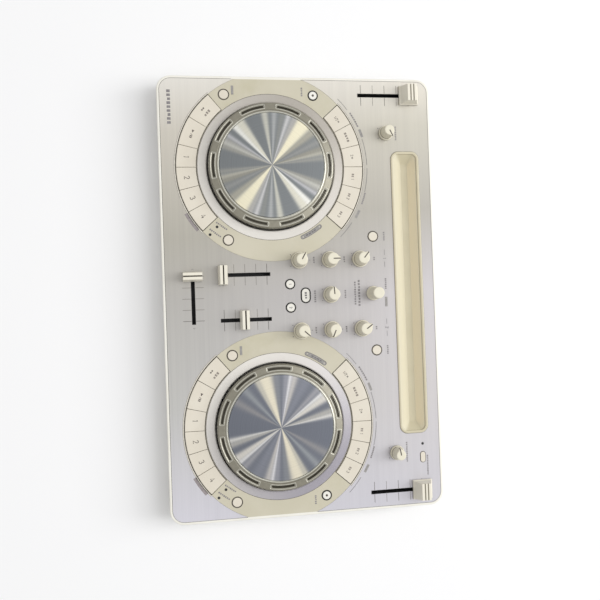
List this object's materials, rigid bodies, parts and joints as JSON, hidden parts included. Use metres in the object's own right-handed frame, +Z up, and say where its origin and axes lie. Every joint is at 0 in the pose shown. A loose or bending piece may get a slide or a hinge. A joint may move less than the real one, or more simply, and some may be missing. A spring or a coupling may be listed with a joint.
{
  "type": "dj controller",
  "caption": "Flat two-deck DJ controller with jog wheels, arcs of performance keys, a central mixer with knobs and faders, and a tablet tray.",
  "frame": {"origin": "centre of the footprint, on the plane that the feet stand on", "axes": "+X to the user's right, +Y to the rear, where the tablet tray is, +Z up"},
  "size_m": [0.403, 0.255, 0.0485],
  "materials": {
    "case_base": "fine moulded texture",
    "case_top": "aged cream, satin gloss",
    "brushed_sheet": "brushed along the width",
    "light_ring": "milky and translucent",
    "tray_plastic": "satin",
    "circuit_board": "solder-resist green",
    "foot_rubber": "matte",
    "jog_metal": "spun, with a polished edge",
    "knob_plastic": "satin",
    "cap_plastic": "satin",
    "lit_key_plastic": "translucent with a dark collar",
    "key_plastic": "aged cream, fine texture"
  },
  "bodies": {
    "root": {"bottom_case": "case_base", "top_case": "case_top", "face_plate": "brushed_sheet", "light_rings": "light_ring", "tablet_tray": "tray_plastic", "circuit_boards": "circuit_board", "screw_feet": "foot_rubber"},
    "browse_knob": {"browse_knob": "knob_plastic"},
    "ch_a_fader": {"ch_a_fader": "cap_plastic"},
    "ch_a_high_knob": {"ch_a_high_knob": "knob_plastic"},
    "ch_a_low_knob": {"ch_a_low_knob": "knob_plastic"},
    "ch_a_mid_knob": {"ch_a_mid_knob": "knob_plastic"},
    "ch_a_monitor_key": {"ch_a_monitor_key": "lit_key_plastic"},
    "ch_b_fader": {"ch_b_fader": "cap_plastic"},
    "ch_b_high_knob": {"ch_b_high_knob": "knob_plastic"},
    "ch_b_low_knob": {"ch_b_low_knob": "knob_plastic"},
    "ch_b_mid_knob": {"ch_b_mid_knob": "knob_plastic"},
    "ch_b_monitor_key": {"ch_b_monitor_key": "lit_key_plastic"},
    "crossfader": {"crossfader": "cap_plastic"},
    "left_cue_key": {"left_cue_key": "key_plastic"},
    "left_fx_1_key": {"left_fx_1_key": "key_plastic"},
    "left_fx_2_key": {"left_fx_2_key": "key_plastic"},
    "left_fx_3_key": {"left_fx_3_key": "key_plastic"},
    "left_jog_wheel": {"left_jog_wheel": "jog_metal"},
    "left_load_key": {"left_load_key": "key_plastic"},
    "left_loop_double_key": {"left_loop_double_key": "key_plastic"},
    "left_loop_half_key": {"left_loop_half_key": "key_plastic"},
    "left_loop_key": {"left_loop_key": "key_plastic"},
    "left_mode_key": {"left_mode_key": "key_plastic"},
    "left_pad_1_key": {"left_pad_1_key": "key_plastic"},
    "left_pad_2_key": {"left_pad_2_key": "key_plastic"},
    "left_pad_3_key": {"left_pad_3_key": "key_plastic"},
    "left_pad_4_key": {"left_pad_4_key": "key_plastic"},
    "left_play_key": {"left_play_key": "key_plastic"},
    "left_shift_key": {"left_shift_key": "key_plastic"},
    "left_sync_key": {"left_sync_key": "lit_key_plastic"},
    "left_tempo_slider": {"left_tempo_slider": "cap_plastic"},
    "master_knob": {"master_knob": "knob_plastic"},
    "mic_knob": {"mic_knob": "knob_plastic"},
    "phones_knob": {"phones_knob": "knob_plastic"},
    "right_cue_key": {"right_cue_key": "key_plastic"},
    "right_fx_1_key": {"right_fx_1_key": "key_plastic"},
    "right_fx_2_key": {"right_fx_2_key": "key_plastic"},
    "right_fx_3_key": {"right_fx_3_key": "key_plastic"},
    "right_jog_wheel": {"right_jog_wheel": "jog_metal"},
    "right_load_key": {"right_load_key": "key_plastic"},
    "right_loop_double_key": {"right_loop_double_key": "key_plastic"},
    "right_loop_half_key": {"right_loop_half_key": "key_plastic"},
    "right_loop_key": {"right_loop_key": "key_plastic"},
    "right_mode_key": {"right_mode_key": "key_plastic"},
    "right_pad_1_key": {"right_pad_1_key": "key_plastic"},
    "right_pad_2_key": {"right_pad_2_key": "key_plastic"},
    "right_pad_3_key": {"right_pad_3_key": "key_plastic"},
    "right_pad_4_key": {"right_pad_4_key": "key_plastic"},
    "right_play_key": {"right_play_key": "key_plastic"},
    "right_shift_key": {"right_shift_key": "key_plastic"},
    "right_sync_key": {"right_sync_key": "lit_key_plastic"},
    "right_tempo_slider": {"right_tempo_slider": "cap_plastic"},
    "select_key": {"select_key": "lit_key_plastic"},
    "standby_key": {"standby_key": "key_plastic"}
  },
  "joints": [
    {"name": "browse_knob_turn", "type": "hinge", "parent": "root", "child": "browse_knob", "pos_m": [0, 0.066, 0.028], "axis": [0, 0, 1], "continuous": true},
    {"name": "ch_a_fader_travel", "type": "slide", "parent": "root", "child": "ch_a_fader", "axis": [0, 1, 0], "range_m": [0, 0.04]},
    {"name": "ch_a_high_knob_turn", "type": "hinge", "parent": "root", "child": "ch_a_high_knob", "pos_m": [-0.0324, 0.0544, 0.028], "axis": [0, 0, 1], "range_deg": [-201, 99]},
    {"name": "ch_a_low_knob_turn", "type": "hinge", "parent": "root", "child": "ch_a_low_knob", "pos_m": [-0.0324, -0.0031, 0.028], "axis": [0, 0, 1], "range_deg": [-211, 89]},
    {"name": "ch_a_mid_knob_turn", "type": "hinge", "parent": "root", "child": "ch_a_mid_knob", "pos_m": [-0.0324, 0.02565, 0.028], "axis": [0, 0, 1], "range_deg": [-150, 150]},
    {"name": "ch_a_monitor_key_travel", "type": "slide", "parent": "root", "child": "ch_a_monitor_key", "axis": [0, 0, -1], "range_m": [0, 0.0005], "stiffness_N_per_m": 200, "springref_m": -0.001},
    {"name": "ch_b_fader_travel", "type": "slide", "parent": "root", "child": "ch_b_fader", "axis": [0, 1, 0], "range_m": [-0.01855, 0.02145]},
    {"name": "ch_b_high_knob_turn", "type": "hinge", "parent": "root", "child": "ch_b_high_knob", "pos_m": [0.0324, 0.0544, 0.028], "axis": [0, 0, 1], "range_deg": [-186, 114]},
    {"name": "ch_b_low_knob_turn", "type": "hinge", "parent": "root", "child": "ch_b_low_knob", "pos_m": [0.0324, -0.0031, 0.028], "axis": [0, 0, 1], "range_deg": [-108, 192]},
    {"name": "ch_b_mid_knob_turn", "type": "hinge", "parent": "root", "child": "ch_b_mid_knob", "pos_m": [0.0324, 0.02565, 0.028], "axis": [0, 0, 1], "range_deg": [-36, 264]},
    {"name": "ch_b_monitor_key_travel", "type": "slide", "parent": "root", "child": "ch_b_monitor_key", "axis": [0, 0, -1], "range_m": [0, 0.0005], "stiffness_N_per_m": 200, "springref_m": -0.001},
    {"name": "crossfader_travel", "type": "slide", "parent": "root", "child": "crossfader", "axis": [1, 0, 0], "range_m": [0, 0.04]},
    {"name": "left_cue_key_travel", "type": "slide", "parent": "root", "child": "left_cue_key", "axis": [0, 0, -1], "range_m": [0, 0.0008], "stiffness_N_per_m": 200, "springref_m": -0.001},
    {"name": "left_fx_1_key_travel", "type": "slide", "parent": "root", "child": "left_fx_1_key", "axis": [0, 0, -1], "range_m": [0, 0.0008], "stiffness_N_per_m": 200, "springref_m": -0.001},
    {"name": "left_fx_2_key_travel", "type": "slide", "parent": "root", "child": "left_fx_2_key", "axis": [0, 0, -1], "range_m": [0, 0.0008], "stiffness_N_per_m": 200, "springref_m": -0.001},
    {"name": "left_fx_3_key_travel", "type": "slide", "parent": "root", "child": "left_fx_3_key", "axis": [0, 0, -1], "range_m": [0, 0.0008], "stiffness_N_per_m": 200, "springref_m": -0.001},
    {"name": "left_jog_wheel_spin", "type": "hinge", "parent": "root", "child": "left_jog_wheel", "pos_m": [-0.1185, -0.0263, 0.028], "axis": [0, 0, 1], "continuous": true},
    {"name": "left_load_key_travel", "type": "slide", "parent": "root", "child": "left_load_key", "axis": [0, 0, -1], "range_m": [0, 0.0005], "stiffness_N_per_m": 200, "springref_m": -0.001},
    {"name": "left_loop_double_key_travel", "type": "slide", "parent": "root", "child": "left_loop_double_key", "axis": [0, 0, -1], "range_m": [0, 0.0008], "stiffness_N_per_m": 200, "springref_m": -0.001},
    {"name": "left_loop_half_key_travel", "type": "slide", "parent": "root", "child": "left_loop_half_key", "axis": [0, 0, -1], "range_m": [0, 0.0008], "stiffness_N_per_m": 200, "springref_m": -0.001},
    {"name": "left_loop_key_travel", "type": "slide", "parent": "root", "child": "left_loop_key", "axis": [0, 0, -1], "range_m": [0, 0.0008], "stiffness_N_per_m": 200, "springref_m": -0.001},
    {"name": "left_mode_key_travel", "type": "slide", "parent": "root", "child": "left_mode_key", "axis": [0, 0, -1], "range_m": [0, 0.0005], "stiffness_N_per_m": 200, "springref_m": -0.001},
    {"name": "left_pad_1_key_travel", "type": "slide", "parent": "root", "child": "left_pad_1_key", "axis": [0, 0, -1], "range_m": [0, 0.0008], "stiffness_N_per_m": 200, "springref_m": -0.001},
    {"name": "left_pad_2_key_travel", "type": "slide", "parent": "root", "child": "left_pad_2_key", "axis": [0, 0, -1], "range_m": [0, 0.0008], "stiffness_N_per_m": 200, "springref_m": -0.001},
    {"name": "left_pad_3_key_travel", "type": "slide", "parent": "root", "child": "left_pad_3_key", "axis": [0, 0, -1], "range_m": [0, 0.0008], "stiffness_N_per_m": 200, "springref_m": -0.001},
    {"name": "left_pad_4_key_travel", "type": "slide", "parent": "root", "child": "left_pad_4_key", "axis": [0, 0, -1], "range_m": [0, 0.0008], "stiffness_N_per_m": 200, "springref_m": -0.001},
    {"name": "left_play_key_travel", "type": "slide", "parent": "root", "child": "left_play_key", "axis": [0, 0, -1], "range_m": [0, 0.0008], "stiffness_N_per_m": 200, "springref_m": -0.001},
    {"name": "left_shift_key_travel", "type": "slide", "parent": "root", "child": "left_shift_key", "axis": [0, 0, -1], "range_m": [0, 0.0005], "stiffness_N_per_m": 200, "springref_m": -0.001},
    {"name": "left_sync_key_travel", "type": "slide", "parent": "root", "child": "left_sync_key", "axis": [0, 0, -1], "range_m": [0, 0.0005], "stiffness_N_per_m": 200, "springref_m": -0.001},
    {"name": "left_tempo_slider_travel", "type": "slide", "parent": "root", "child": "left_tempo_slider", "axis": [0, 1, 0], "range_m": [-0.046, 0]},
    {"name": "master_knob_turn", "type": "hinge", "parent": "root", "child": "master_knob", "pos_m": [0.15, 0.0833, 0.028], "axis": [0, 0, 1], "range_deg": [-250, 50]},
    {"name": "mic_knob_turn", "type": "hinge", "parent": "root", "child": "mic_knob", "pos_m": [-0.15, 0.0833, 0.028], "axis": [0, 0, 1], "range_deg": [-87, 213]},
    {"name": "phones_knob_turn", "type": "hinge", "parent": "root", "child": "phones_knob", "pos_m": [0, 0.02565, 0.028], "axis": [0, 0, 1], "range_deg": [-244, 56]},
    {"name": "right_cue_key_travel", "type": "slide", "parent": "root", "child": "right_cue_key", "axis": [0, 0, -1], "range_m": [0, 0.0008], "stiffness_N_per_m": 200, "springref_m": -0.001},
    {"name": "right_fx_1_key_travel", "type": "slide", "parent": "root", "child": "right_fx_1_key", "axis": [0, 0, -1], "range_m": [0, 0.0008], "stiffness_N_per_m": 200, "springref_m": -0.001},
    {"name": "right_fx_2_key_travel", "type": "slide", "parent": "root", "child": "right_fx_2_key", "axis": [0, 0, -1], "range_m": [0, 0.0008], "stiffness_N_per_m": 200, "springref_m": -0.001},
    {"name": "right_fx_3_key_travel", "type": "slide", "parent": "root", "child": "right_fx_3_key", "axis": [0, 0, -1], "range_m": [0, 0.0008], "stiffness_N_per_m": 200, "springref_m": -0.001},
    {"name": "right_jog_wheel_spin", "type": "hinge", "parent": "root", "child": "right_jog_wheel", "pos_m": [0.1185, -0.0263, 0.028], "axis": [0, 0, 1], "continuous": true},
    {"name": "right_load_key_travel", "type": "slide", "parent": "root", "child": "right_load_key", "axis": [0, 0, -1], "range_m": [0, 0.0005], "stiffness_N_per_m": 200, "springref_m": -0.001},
    {"name": "right_loop_double_key_travel", "type": "slide", "parent": "root", "child": "right_loop_double_key", "axis": [0, 0, -1], "range_m": [0, 0.0008], "stiffness_N_per_m": 200, "springref_m": -0.001},
    {"name": "right_loop_half_key_travel", "type": "slide", "parent": "root", "child": "right_loop_half_key", "axis": [0, 0, -1], "range_m": [0, 0.0008], "stiffness_N_per_m": 200, "springref_m": -0.001},
    {"name": "right_loop_key_travel", "type": "slide", "parent": "root", "child": "right_loop_key", "axis": [0, 0, -1], "range_m": [0, 0.0008], "stiffness_N_per_m": 200, "springref_m": -0.001},
    {"name": "right_mode_key_travel", "type": "slide", "parent": "root", "child": "right_mode_key", "axis": [0, 0, -1], "range_m": [0, 0.0005], "stiffness_N_per_m": 200, "springref_m": -0.001},
    {"name": "right_pad_1_key_travel", "type": "slide", "parent": "root", "child": "right_pad_1_key", "axis": [0, 0, -1], "range_m": [0, 0.0008], "stiffness_N_per_m": 200, "springref_m": -0.001},
    {"name": "right_pad_2_key_travel", "type": "slide", "parent": "root", "child": "right_pad_2_key", "axis": [0, 0, -1], "range_m": [0, 0.0008], "stiffness_N_per_m": 200, "springref_m": -0.001},
    {"name": "right_pad_3_key_travel", "type": "slide", "parent": "root", "child": "right_pad_3_key", "axis": [0, 0, -1], "range_m": [0, 0.0008], "stiffness_N_per_m": 200, "springref_m": -0.001},
    {"name": "right_pad_4_key_travel", "type": "slide", "parent": "root", "child": "right_pad_4_key", "axis": [0, 0, -1], "range_m": [0, 0.0008], "stiffness_N_per_m": 200, "springref_m": -0.001},
    {"name": "right_play_key_travel", "type": "slide", "parent": "root", "child": "right_play_key", "axis": [0, 0, -1], "range_m": [0, 0.0008], "stiffness_N_per_m": 200, "springref_m": -0.001},
    {"name": "right_shift_key_travel", "type": "slide", "parent": "root", "child": "right_shift_key", "axis": [0, 0, -1], "range_m": [0, 0.0005], "stiffness_N_per_m": 200, "springref_m": -0.001},
    {"name": "right_sync_key_travel", "type": "slide", "parent": "root", "child": "right_sync_key", "axis": [0, 0, -1], "range_m": [0, 0.0005], "stiffness_N_per_m": 200, "springref_m": -0.001},
    {"name": "right_tempo_slider_travel", "type": "slide", "parent": "root", "child": "right_tempo_slider", "axis": [0, 1, 0], "range_m": [-0.046, 0]},
    {"name": "select_key_travel", "type": "slide", "parent": "root", "child": "select_key", "axis": [0, 0, -1], "range_m": [0, 0.0005], "stiffness_N_per_m": 200, "springref_m": -0.001},
    {"name": "standby_key_travel", "type": "slide", "parent": "root", "child": "standby_key", "axis": [0, 0, -1], "range_m": [0, 0.0005], "stiffness_N_per_m": 200, "springref_m": -0.001}
  ]
}
